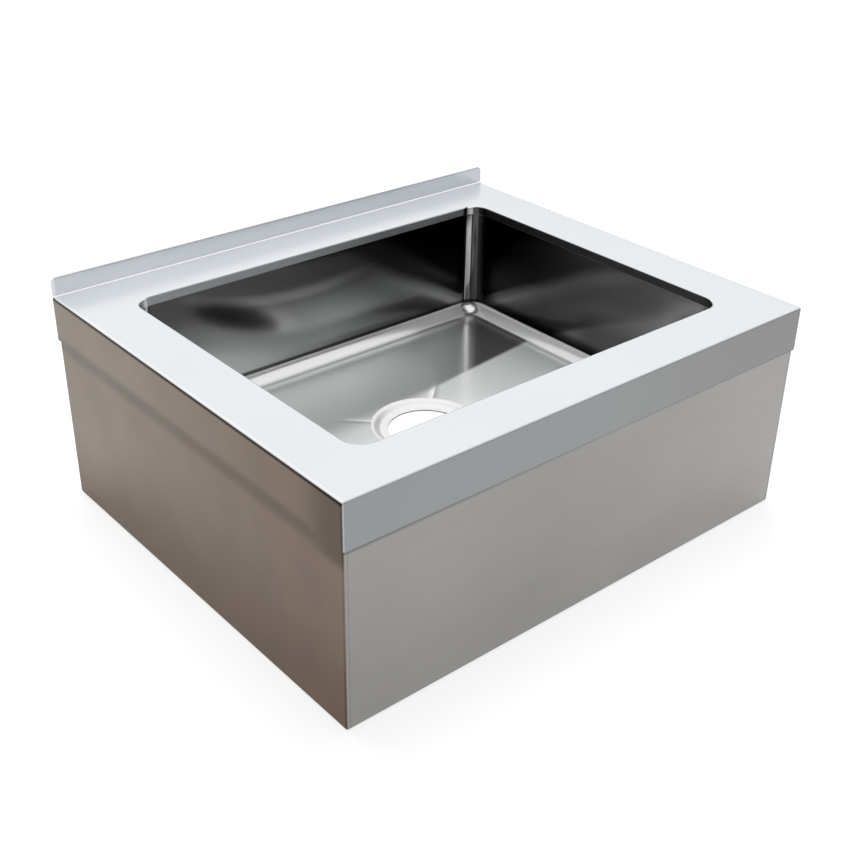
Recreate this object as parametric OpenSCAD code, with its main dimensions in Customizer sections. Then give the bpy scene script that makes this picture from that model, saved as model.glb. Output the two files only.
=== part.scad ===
// Floor mop service sink in folded stainless steel sheet: a deck with a pressed bowl,
// standing on an enclosed cabinet. Millimetres, +Z up, front face towards -Y.
// The origin is on the floor, in the middle of the footprint.

/* [Deck] */
// Overall width, left to right
sink_w = 635; // [600:5:760]
// Overall depth, from the front of the apron to the wall
sink_d = 533.4; // [500:5:660]
// Height of the deck above the floor
deck_h = 254; // [230:2:320]
// Thickness of the deck and bowl sheet
sheet = 1.5; // [1.2:0.1:2]
// Outer radius of every folded edge
bend_r = 3; // [2.6:0.2:4]
// Height of the apron, from the deck surface down
apron_h = 52; // [40:1:70]
// Radius of the clipped ends of the apron's lower edge
apron_clip_r = 4; // [2:0.5:8]
// Height of the rear upstand above the deck surface
upstand_h = 22.5; // [15:0.5:60]
// Radius of the upstand's top corners
upstand_r = 6; // [3:1:12]

/* [Bowl] */
// Width of the bowl opening
bowl_w = 508; // [440:4:520]
// Depth of the bowl opening, front to rear
bowl_d = 406.4; // [340:4:420]
// Depth of the bowl, from the deck surface to the edge of its floor
bowl_depth = 152.4; // [120:2:160]
// Plan radius of the bowl's upright corners
bowl_r = 22; // [20:1:40]
// Radius of the cove between the walls and the floor
cove_r = 17; // [10:1:19]
// How far the floor falls from its edge towards the drain
floor_fall = 3; // [1:0.5:6]
// Height of the deck's collar, where the bowl is butt welded to it
collar_h = 11; // [8:1:25]
// Outer radius of the deck's bend into the collar
collar_r = 2.5; // [2.2:0.1:4]

/* [Drain] */
// Diameter of the drain hole
drain_d = 88.9; // [60:0.1:92]
// Diameter of the flat seat round the hole
seat_d = 106; // [98:1:110]
// Outer diameter of the pressed step round the seat
seat_rim_d = 122; // [116:1:140]
// Depth of the seat below the lowest part of the floor
seat_depth = 5; // [3:0.5:8]

/* [Cabinet] */
// Thickness of the cabinet sheet
panel_t = 1.2; // [1:0.1:1.5]
// Gap between the apron and the panel behind it
panel_gap = 0.3; // [0.1:0.1:1]
// Distance of the front and rear seams from the cabinet's corners
seam_set = 4.5; // [4:0.5:8]
// Width of the seam between two panels
seam_gap = 0.2; // [0.1:0.1:0.5]
// Width of the in-turned flange at the floor
foot_w = 25; // [20:1:35]
// Width of the in-turned flange under the deck
head_w = 20; // [12:1:30]
// Width of the waste pipe cut-out in the rear panel
cutout_w = 120; // [90:5:160]
// Height of the waste pipe cut-out
cutout_h = 60; // [40:2:80]
// Height of the cut-out's lower edge above the floor
cutout_low = 22; // [12:1:40]
// Corner radius of the cut-out
cutout_r = 12; // [5:1:18]

/* [Corner pieces] */
// Leg length of the triangular gussets on the floor flanges
gusset_l = 60; // [50:1:90]
// Thickness of the gussets
gusset_t = 2; // [1.5:0.5:5]
// Diameter of the floor anchor holes
anchor_d = 9; // [6:0.5:12]
// Distance of an anchor hole from the sink's front or rear edge
anchor_set = 25; // [20:1:32]
// Leg width of the upright corner angles
angle_w = 20; // [14:1:40]
// Thickness of the corner angles
angle_t = 1.5; // [1:0.1:2.5]

/* [Bowl bearers] */
// Distance of each bearer from the middle of the sink
bearer_x = 150; // [125:1:165]
// Width of a bearer's top web
bearer_w = 40; // [30:1:50]
// Height of a bearer
bearer_h = 25; // [18:1:35]
// Width of a bearer's foot flanges
bearer_flange = 15; // [10:1:18]
// Thickness of the bearers
bearer_t = 2; // [1.5:0.5:3]
// Gap between a bearer's ends and the panels
bearer_end_gap = 1; // [0.3:0.1:3]
// Least thickness of the rubber strip on a bearer, under the lowest part of the floor
bearer_pad_t = 4; // [2:0.5:8]
// Distance of the strip's edges and ends from the web's edges and the bowl's cove
bearer_pad_inset = 3; // [1:0.5:8]
// Leg length of the angle cleats that carry the bearers
cleat_l = 28; // [20:1:34]
// Thickness of the cleats
cleat_t = 2; // [1.5:0.5:4]

/* [Sound-deadening pads] */
// Thickness of the pads on the bowl walls
sound_t = 3; // [2:0.5:6]
// Height of the pads
sound_h = 60; // [40:2:70]
// Height of the pads' lower edge above the bowl floor
sound_up = 38; // [24:1:45]
// Length of the front and rear pads
sound_l = 300; // [200:5:340]
// Length of the left and right pads
sound_side_l = 220; // [150:5:240]

/* [Hidden] */
$fn = 96;

// How far a cutter runs past the face that it cuts
past = 1;
// How far a bent or falling part of a sheet runs on into the flat that it joins
lap = 0.5;
// Gap left between pieces that don't carry each other
clear = 0.3;
LEFT = -1;
RIGHT = 1;
FRONT = -1;
REAR = 1;

// The way a side faces, in degrees from +X
FACE_RIGHT = 0;
FACE_REAR = 90;
FACE_LEFT = 180;
FACE_FRONT = 270;

STEEL = "#c6cace";
PANEL_STEEL = "#a3a19d";
INNER_STEEL = "#8c9196";
RUBBER = "#2b2b2d";

half_w = sink_w / 2;
half_d = sink_d / 2;
under_z = deck_h - sheet;
apron_z = deck_h - apron_h;

// The bowl floor: its edge, the half sizes of the part that falls, and the seat's levels
floor_z = deck_h - bowl_depth;
fall_x = bowl_w / 2 - bowl_r;
fall_y = bowl_d / 2 - bowl_r;
drain_r = drain_d / 2;
seat_r = seat_d / 2;
seat_rim_r = seat_rim_d / 2;
seat_z = floor_z - floor_fall - seat_depth;
seat_rim_z = floor_z - floor_fall * (1 - seat_rim_r / (fall_x + fall_y));
seat_slope = atan((seat_rim_z - seat_z) / (seat_rim_r - seat_r));

// The floor's highest and lowest levels round the seat's rim, and a level inside the
// floor's thickness there, where the seat's outside ends
rim_high = floor_z - floor_fall * (1 - seat_rim_r / min(fall_x, fall_y));
rim_low = floor_z - floor_fall * (1 - seat_rim_r / norm([fall_x, fall_y]));
rim_joint = (rim_high - sheet + rim_low) / 2;

// The cabinet's outer faces, the centre lines of its upright bends, and its inner faces
cab_x = half_w - sheet - panel_gap;
cab_front = half_d - sheet - panel_gap;
cab_rear = half_d;
bend_x = cab_x - bend_r;
function cab_y(end) = end == FRONT ? cab_front : cab_rear;
function bend_y(end) = cab_y(end) - bend_r;
foot_run = foot_w - bend_r;
head_run = head_w - bend_r;

gusset_z = panel_t;
anchor_x = bend_x - foot_run / 2;
anchor_y = half_d - anchor_set;

// The bearers hang between the panels, with the rubber strips up against the floor
bearer_top = floor_z - sheet - floor_fall - bearer_pad_t;
bearer_low = bearer_top - bearer_h;
bearer_span = bearer_w + 2 * bearer_flange;
bearer_pad_l = 2 * (fall_y - bearer_pad_inset);

// ---------------------------------------------------------------- shapes used more than once

// A quarter of a flat ring in the quadrant where x and y have the signs sx and sy
module bend_quarter(radius, thickness, sx = 1, sy = 1) {
    intersection() {
        difference() {
            circle(radius);
            circle(radius - thickness);
        }
        translate([min(0, sx * (radius + past)), min(0, sy * (radius + past))])
            square(radius + past);
    }
}

// A rectangle of w by d with round corners, about the origin
module round_rectangle(w, d, radius) {
    square([w - 2 * radius, d], center = true);
    square([w, d - 2 * radius], center = true);
    for (x = [-1, 1], y = [-1, 1])
        translate([x * (w / 2 - radius), y * (d / 2 - radius)])
            circle(radius);
}

// A straight stretch of a section whose x axis points outwards, on the side that faces
// the given way; reach is the distance of the section's zero from the middle
module side_run(facing, reach, from, to) {
    rotate(facing)
        translate([reach, to, 0])
            rotate([90, 0, 0])
                linear_extrude(to - from)
                    children([0:$children - 1]);
}

// The same section turned through an upright corner at [x, y], between the side that
// faces the given way and the next one anticlockwise
module corner_run(facing, x, y) {
    translate([x, y, 0])
        rotate(facing)
            rotate_extrude(angle = 90)
                children();
}

// A section carried right round a rectangle with round corners; its x axis counts
// outwards from the corners' centres, so the path itself is at x = radius
module round_run(w, d, radius) {
    x = w / 2 - radius;
    y = d / 2 - radius;
    side_run(FACE_RIGHT, x, -y, y) children();
    side_run(FACE_REAR, y, -x, x) children();
    side_run(FACE_LEFT, x, -y, y) children();
    side_run(FACE_FRONT, y, -x, x) children();
    corner_run(FACE_RIGHT, x, y) children();
    corner_run(FACE_REAR, -x, y) children();
    corner_run(FACE_LEFT, -x, -y) children();
    corner_run(FACE_FRONT, x, -y) children();
}

// ---------------------------------------------------------------- deck

// The deck's edge folded down into the apron; x = 0 is the centre line of the bend
module apron_section() {
    translate([0, deck_h - bend_r])
        bend_quarter(bend_r, sheet);
    translate([bend_r - sheet, apron_z])
        square([sheet, apron_h - bend_r]);
}

// The deck folded down into the bowl opening; the opening's wall is at x = bowl_r
module collar_section() {
    translate([bowl_r + collar_r, deck_h - collar_r])
        bend_quarter(collar_r, sheet, -1, 1);
    translate([bowl_r + collar_r, under_z])
        square([lap, sheet]);
    translate([bowl_r, deck_h - collar_h])
        square([sheet, collar_h - collar_r]);
}

// The flat of the deck, between its bends
module deck_flat() {
    translate([0, 0, under_z])
        linear_extrude(sheet)
            difference() {
                square([sink_w - 2 * bend_r, sink_d - 2 * bend_r], center = true);
                round_rectangle(bowl_w + 2 * collar_r, bowl_d + 2 * collar_r, bowl_r + collar_r);
            }
}

// The bend up to the wall, and the upstand on it
module rear_upstand() {
    fold_z = under_z + bend_r;
    side_run(FACE_REAR, half_d - bend_r, -half_w, half_w)
        translate([0, fold_z])
            bend_quarter(bend_r, sheet, 1, -1);
    translate([0, half_d, fold_z])
        rotate([90, 0, 0])
            linear_extrude(sheet)
                difference() {
                    translate([-half_w, 0])
                        square([sink_w, deck_h + upstand_h - fold_z]);
                    for (side = [LEFT, RIGHT])
                        translate([side * (half_w - upstand_r), deck_h + upstand_h - fold_z - upstand_r])
                            difference() {
                                translate([min(0, side * (upstand_r + past)), 0])
                                    square(upstand_r + past);
                                circle(upstand_r);
                            }
                }
}

// A bar along Y less the round that it leaves on the sheet; the apron's corner is at the
// origin, and the sheet lies towards +X and +Z
module apron_corner_cutter() {
    reach = sheet + panel_gap / 2;
    translate([0, reach, 0])
        rotate([90, 0, 0])
            linear_extrude(reach + past)
                difference() {
                    translate([-past, -past])
                        square(apron_clip_r + past);
                    translate([apron_clip_r, apron_clip_r])
                        circle(apron_clip_r);
                }
}

// Takes the sharp lower corner off the apron at one front corner, in both of its faces
module apron_clip(side) {
    mirror([side == RIGHT ? 1 : 0, 0, 0])
        translate([-half_w, -half_d, apron_z]) {
            apron_corner_cutter();
            rotate(-90)
                mirror([1, 0, 0])
                    apron_corner_cutter();
        }
}

module deck() {
    fold_x = half_w - bend_r;
    fold_y = half_d - bend_r;
    color(STEEL)
        difference() {
            union() {
                deck_flat();
                round_run(bowl_w, bowl_d, bowl_r)
                    collar_section();
                rear_upstand();
                for (facing = [FACE_RIGHT, FACE_LEFT])
                    side_run(facing, fold_x, -fold_y, fold_y)
                        apron_section();
                side_run(FACE_FRONT, fold_y, -fold_x, fold_x)
                    apron_section();
                corner_run(FACE_LEFT, -fold_x, -fold_y)
                    apron_section();
                corner_run(FACE_FRONT, fold_x, -fold_y)
                    apron_section();
                for (side = [LEFT, RIGHT])
                    translate([side * half_w - (side == RIGHT ? sheet : 0), fold_y, apron_z])
                        cube([sheet, bend_r, under_z + bend_r - apron_z]);
            }
            for (side = [LEFT, RIGHT])
                apron_clip(side);
        }
}

// ---------------------------------------------------------------- bowl

// A block from x = 0 out to reach, with its outer lower corner rounded
module coved_block(reach, low, high, radius) {
    difference() {
        translate([0, low])
            square([reach, high - low]);
        translate([reach - radius, low + radius])
            difference() {
                translate([0, -radius - past])
                    square(radius + past);
                circle(radius);
            }
    }
}

// Wall, cove and the level edge of the floor; the wall's inner face is at x = bowl_r
module bowl_section() {
    top = deck_h - collar_h;
    difference() {
        coved_block(bowl_r + sheet, floor_z - sheet, top, cove_r + sheet);
        coved_block(bowl_r, floor_z, top + past, cove_r);
    }
}

// The profile across the floor, from its level edge down to the middle and up again;
// run is half the width that falls, above is how far the profile is carried upwards
function fall_profile(run, above) = [
    [-run - lap, above], [-run - lap, 0], [-run, 0], [0, -floor_fall],
    [run, 0], [run + lap, 0], [run + lap, above],
];

// The shallow pit with four sloping planes that the floor falls into, below z = 0
module fall_pit(above) {
    intersection() {
        rotate([90, 0, 0])
            linear_extrude(2 * (fall_y + lap), center = true)
                polygon(fall_profile(fall_x, above));
        rotate([90, 0, 90])
            linear_extrude(2 * (fall_x + lap), center = true)
                polygon(fall_profile(fall_y, above));
    }
}

// The solid that the pressed seat's underside bounds
module seat_outside() {
    knee = sheet * tan(seat_slope / 2);
    rotate_extrude()
        polygon([
            [0, seat_z - sheet],
            [seat_r + knee, seat_z - sheet],
            [seat_rim_r + sheet * sin(seat_slope), seat_rim_z - sheet * cos(seat_slope)],
            [seat_rim_r + sheet * sin(seat_slope), rim_joint],
            [0, rim_joint],
        ]);
}

// The hollow of the pressed seat, open upwards
module seat_hollow() {
    rotate_extrude()
        polygon([
            [0, seat_z],
            [seat_r, seat_z],
            [seat_rim_r, seat_rim_z],
            [seat_rim_r, floor_z + past],
            [0, floor_z + past],
        ]);
}

module bowl() {
    color(STEEL)
        difference() {
            union() {
                round_run(bowl_w, bowl_d, bowl_r)
                    bowl_section();
                difference() {
                    translate([0, 0, floor_z - sheet])
                        fall_pit(sheet);
                    translate([0, 0, floor_z])
                        fall_pit(past);
                }
                seat_outside();
            }
            seat_hollow();
            translate([0, 0, seat_z - sheet - past])
                cylinder(r = drain_r, h = sheet + 2 * past);
        }
}

// ---------------------------------------------------------------- cabinet panels

// An upright panel with its bends at the floor and under the deck; the outer face is at
// x = bend_r
module panel_section() {
    translate([0, bend_r])
        bend_quarter(bend_r, panel_t, 1, -1);
    translate([bend_r - panel_t, bend_r])
        square([panel_t, under_z - 2 * bend_r]);
    translate([0, under_z - bend_r])
        bend_quarter(bend_r, panel_t, 1, 1);
}

// The flat flanges that turn in at the floor and under the deck
module flange_section() {
    translate([-foot_run, 0])
        square([foot_run, panel_t]);
    translate([-head_run, under_z - panel_t])
        square([head_run, panel_t]);
}

// A side panel wraps round both upright corners and ends in a short return at each seam
module side_panel(side) {
    return_from = cab_x - seam_set;
    color(PANEL_STEEL)
        mirror([side == LEFT ? 1 : 0, 0, 0])
            difference() {
                union() {
                    side_run(FACE_RIGHT, bend_x, -bend_y(FRONT), bend_y(REAR)) {
                        panel_section();
                        flange_section();
                    }
                    corner_run(FACE_FRONT, bend_x, -bend_y(FRONT))
                        panel_section();
                    corner_run(FACE_RIGHT, bend_x, bend_y(REAR))
                        panel_section();
                    side_run(FACE_FRONT, bend_y(FRONT), return_from, bend_x)
                        panel_section();
                    side_run(FACE_REAR, bend_y(REAR), -bend_x, -return_from)
                        panel_section();
                }
                for (end = [FRONT, REAR])
                    translate([anchor_x, end * anchor_y, -past])
                        cylinder(d = anchor_d, h = panel_t + 2 * past);
            }
}

// A flat panel between the side panels' returns
module end_panel(facing, end) {
    seam_x = cab_x - seam_set - seam_gap;
    flange_x = cab_x - foot_w - clear;
    side_run(facing, bend_y(end), -seam_x, seam_x)
        panel_section();
    side_run(facing, bend_y(end), -flange_x, flange_x)
        flange_section();
}

module front_panel() {
    color(PANEL_STEEL)
        end_panel(FACE_FRONT, FRONT);
}

module rear_panel() {
    color(PANEL_STEEL)
        difference() {
            end_panel(FACE_REAR, REAR);
            translate([0, cab_rear + past, cutout_low + cutout_h / 2])
                rotate([90, 0, 0])
                    linear_extrude(panel_t + 2 * past)
                        round_rectangle(cutout_w, cutout_h, cutout_r);
        }
}

// ---------------------------------------------------------------- corner pieces

// Moves a piece drawn in the right rear corner, with its corner at the origin and its
// body towards -X and -Y, to the corner that side and end name
module in_corner(side, end, x, y) {
    mirror([side == LEFT ? 1 : 0, 0, 0])
        mirror([0, end == FRONT ? 1 : 0, 0])
            translate([x, y, 0])
                children();
}

// An upright angle behind the seam, spot welded to the side panel and the end panel
module corner_angle(side, end) {
    low = gusset_z + gusset_t + clear;
    high = under_z - panel_t - clear;
    color(INNER_STEEL)
        in_corner(side, end, cab_x - panel_t, cab_y(end) - panel_t)
            translate([0, 0, low])
                linear_extrude(high - low) {
                    translate([-angle_t, -angle_w])
                        square([angle_t, angle_w - bend_r]);
                    translate([-angle_w, -angle_t])
                        square([angle_w - bend_r, angle_t]);
                    translate([-bend_r, -bend_r])
                        bend_quarter(bend_r, angle_t);
                }
}

// A triangular plate on top of two floor flanges, drilled for a floor anchor
module corner_gusset(side, end) {
    color(INNER_STEEL)
        in_corner(side, end, bend_x, bend_y(end))
            translate([0, 0, gusset_z])
                difference() {
                    linear_extrude(gusset_t)
                        polygon([[0, 0], [-gusset_l, 0], [0, -gusset_l]]);
                    translate([anchor_x - bend_x, anchor_y - bend_y(end), -past])
                        cylinder(d = anchor_d, h = gusset_t + 2 * past);
                }
}

// ---------------------------------------------------------------- bowl bearers

// The right half of a bearer's top-hat section, down the outside and up the inside
hat_half = [
    [bearer_w / 2, bearer_top],
    [bearer_w / 2, bearer_low + bearer_t],
    [bearer_span / 2, bearer_low + bearer_t],
    [bearer_span / 2, bearer_low],
    [bearer_w / 2 - bearer_t, bearer_low],
    [bearer_w / 2 - bearer_t, bearer_top - bearer_t],
];

// A top-hat channel from the front panel to the rear panel
module bearer(side) {
    front = -cab_front + panel_t + bearer_end_gap;
    rear = cab_rear - panel_t - bearer_end_gap;
    color(INNER_STEEL)
        translate([side * bearer_x, rear, 0])
            rotate([90, 0, 0])
                linear_extrude(rear - front)
                    polygon(concat(hat_half, [
                        for (i = [len(hat_half) - 1:-1:0]) [-hat_half[i].x, hat_half[i].y]
                    ]));
}

// A rubber strip on the bearer, shaped to the fall of the floor above it
module bearer_pad(side) {
    color(RUBBER)
        difference() {
            translate([side * bearer_x - bearer_w / 2 + bearer_pad_inset, -bearer_pad_l / 2, bearer_top])
                cube([
                    bearer_w - 2 * bearer_pad_inset, bearer_pad_l, floor_z - sheet - bearer_top
                ]);
            translate([0, 0, floor_z - sheet])
                fall_pit(past);
        }
}

// An angle on the inside of the front or rear panel, under one end of a bearer
module cleat(side, end) {
    color(INNER_STEEL)
        mirror([0, end == FRONT ? 1 : 0, 0])
            translate([side * bearer_x - bearer_span / 2, cab_y(end) - panel_t, bearer_low])
                rotate([90, 0, 90])
                    linear_extrude(bearer_span)
                        polygon([
                            [0, 0], [-cleat_l, 0], [-cleat_l, -cleat_t],
                            [-cleat_t, -cleat_t], [-cleat_t, -cleat_l], [0, -cleat_l],
                        ]);
}

// ---------------------------------------------------------------- sound-deadening pads

// A flat pad stuck to the outside of the bowl wall that faces the given way
module sound_pad(facing, wall, length) {
    color(RUBBER)
        rotate(facing)
            translate([wall + sheet, -length / 2, floor_z + sound_up])
                cube([sound_t, length, sound_h]);
}

// ---------------------------------------------------------------- the sink

deck();
bowl();
front_panel();
side_panel(LEFT);  // left_panel
side_panel(RIGHT);  // right_panel
rear_panel();
corner_angle(LEFT, FRONT);  // front_left_corner_angle
corner_angle(RIGHT, FRONT);  // front_right_corner_angle
corner_angle(LEFT, REAR);  // rear_left_corner_angle
corner_angle(RIGHT, REAR);  // rear_right_corner_angle
corner_gusset(LEFT, FRONT);  // front_left_gusset
corner_gusset(RIGHT, FRONT);  // front_right_gusset
corner_gusset(LEFT, REAR);  // rear_left_gusset
corner_gusset(RIGHT, REAR);  // rear_right_gusset
bearer(LEFT);  // left_bearer
bearer(RIGHT);  // right_bearer
bearer_pad(LEFT);  // left_bearer_pad
bearer_pad(RIGHT);  // right_bearer_pad
cleat(LEFT, FRONT);  // front_left_cleat
cleat(RIGHT, FRONT);  // front_right_cleat
cleat(LEFT, REAR);  // rear_left_cleat
cleat(RIGHT, REAR);  // rear_right_cleat
sound_pad(FACE_FRONT, bowl_d / 2, sound_l);  // front_sound_pad
sound_pad(FACE_REAR, bowl_d / 2, sound_l);  // rear_sound_pad
sound_pad(FACE_LEFT, bowl_w / 2, sound_side_l);  // left_sound_pad
sound_pad(FACE_RIGHT, bowl_w / 2, sound_side_l);  // right_sound_pad
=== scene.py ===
"""A floor-standing mop service sink: folded stainless deck, pressed bowl and sheet cabinet."""
import math

import bpy
import numpy as np
from mathutils import Matrix, Vector


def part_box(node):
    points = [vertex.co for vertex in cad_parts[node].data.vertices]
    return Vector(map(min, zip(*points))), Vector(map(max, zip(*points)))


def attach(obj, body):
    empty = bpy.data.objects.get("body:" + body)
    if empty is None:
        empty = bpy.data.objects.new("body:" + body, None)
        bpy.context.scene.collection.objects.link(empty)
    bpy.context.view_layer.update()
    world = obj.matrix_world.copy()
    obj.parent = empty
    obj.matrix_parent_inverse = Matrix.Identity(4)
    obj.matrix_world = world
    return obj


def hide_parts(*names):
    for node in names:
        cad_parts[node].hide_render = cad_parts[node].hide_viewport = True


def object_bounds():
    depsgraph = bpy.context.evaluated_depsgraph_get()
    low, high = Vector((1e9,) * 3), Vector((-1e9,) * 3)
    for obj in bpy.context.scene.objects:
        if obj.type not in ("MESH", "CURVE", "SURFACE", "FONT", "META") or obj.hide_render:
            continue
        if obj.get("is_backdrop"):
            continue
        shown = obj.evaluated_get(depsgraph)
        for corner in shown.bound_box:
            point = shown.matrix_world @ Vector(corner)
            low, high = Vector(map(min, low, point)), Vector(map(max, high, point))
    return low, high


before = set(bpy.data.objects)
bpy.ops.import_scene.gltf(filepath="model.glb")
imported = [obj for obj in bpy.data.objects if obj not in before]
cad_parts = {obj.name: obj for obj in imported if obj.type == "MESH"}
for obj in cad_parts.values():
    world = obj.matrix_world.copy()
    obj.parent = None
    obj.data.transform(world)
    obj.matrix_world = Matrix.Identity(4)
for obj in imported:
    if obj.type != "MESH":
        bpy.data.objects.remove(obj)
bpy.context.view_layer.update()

bl_info = {
    "name": "Mop service sink",
    "version": (1, 0, 0),
    "blender": (4, 5, 0),
    "location": "3D View > Sidebar > Sink",
    "description": "Builds a floor-standing mop service sink and the studio round it",
    "category": "Add Mesh",
}

DECK_LOW, DECK_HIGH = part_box("deck")
BOWL_LOW, BOWL_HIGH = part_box("bowl")

# Directions that the four sides face, in the order in which a run goes round the sink
LEFT, FRONT, RIGHT, REAR = 0, 1, 2, 3
OUTWARD = np.array([[-1.0, 0.0], [0.0, -1.0], [1.0, 0.0], [0.0, 1.0]])

# Bluntness of the tip of the notch in the apron's lower edge, at the two front corners
NOTCH_TIP = 0.0008

# Distances from the end of a straight run at which it is cut first, before even steps
CLOSE_CUTS = np.array([0.0, 0.0004, 0.001, 0.002, 0.0035, 0.005, 0.008])

# Points of a sheet that fall in the same small cell become one. The offset keeps round
# sizes away from the edges between cells.
CELLS_PER_METRE, CELL_OFFSET = 4e5, 0.123

# Noise cells per metre, along the brushing and across it, for the fine grain and for streaks
GRAIN_ALONG, GRAIN_ACROSS = 9.0, 2600.0
STREAK_ALONG, STREAK_ACROSS = 2.0, 160.0

# Middle of the patch of studio floor that shows white through the drain hole
DRAIN_LIGHT_X, DRAIN_LIGHT_Y = 0.106, 0.125


# ---------------------------------------------------------------- sizes and colours

# What all tones have in common
TONE = {"size": 3, "min": 0.0, "max": 1.0}


class SinkSizes(bpy.types.PropertyGroup):
    """Sizes of the folded and pressed sheets"""

    sheet: bpy.props.FloatProperty(
        name="Sheet", description="Thickness of the deck and bowl sheet",
        default=0.0015, min=0.001, max=0.003, unit="LENGTH")
    fold: bpy.props.FloatProperty(
        name="Fold radius", description="Outer radius of the folded edges",
        default=0.003, min=0.002, max=0.006, unit="LENGTH")
    upstand: bpy.props.FloatProperty(
        name="Upstand", description="Height of the rear upstand above the deck",
        default=0.0225, min=0.01, max=0.06, unit="LENGTH")
    upstand_corner: bpy.props.FloatProperty(
        name="Upstand corner", description="Radius of the upstand's two top corners",
        default=0.006, min=0.001, max=0.015, unit="LENGTH")
    apron_clip: bpy.props.FloatProperty(
        name="Apron clip", description="Radius that takes the sharp lower corners off the apron",
        default=0.004, min=0.001, max=0.008, unit="LENGTH")
    corner: bpy.props.FloatProperty(
        name="Bowl corner", description="Plan radius of the bowl's upright corners",
        default=0.022, min=0.012, max=0.04, unit="LENGTH")
    collar_fold: bpy.props.FloatProperty(
        name="Collar fold", description="Radius of the deck's fold into the bowl opening",
        default=0.0025, min=0.0018, max=0.005, unit="LENGTH")
    bowl_depth: bpy.props.FloatProperty(
        name="Bowl depth", description="Depth from the deck to the edge of the bowl floor",
        default=0.1524, min=0.1, max=0.2, unit="LENGTH")
    cove: bpy.props.FloatProperty(
        name="Cove", description="Radius between the bowl walls and floor",
        default=0.017, min=0.008, max=0.02, unit="LENGTH")
    fall: bpy.props.FloatProperty(
        name="Fall", description="How far the bowl floor falls towards the drain",
        default=0.003, min=0.0, max=0.006, unit="LENGTH")
    drain: bpy.props.FloatProperty(
        name="Drain radius", description="Radius of the bare drain hole",
        default=0.04445, min=0.03, max=0.046, unit="LENGTH")
    seat: bpy.props.FloatProperty(
        name="Seat radius", description="Radius of the flat seat round the drain hole",
        default=0.0515, min=0.047, max=0.056, unit="LENGTH")
    seat_rim: bpy.props.FloatProperty(
        name="Seat rim", description="Radius at which the pressed step reaches the bowl floor",
        default=0.063, min=0.058, max=0.07, unit="LENGTH")
    rim: bpy.props.FloatProperty(
        name="Sheet edge", description="Radius on the cut edges of the sheets",
        default=0.0003, min=0.0, max=0.0006, unit="LENGTH")


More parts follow.
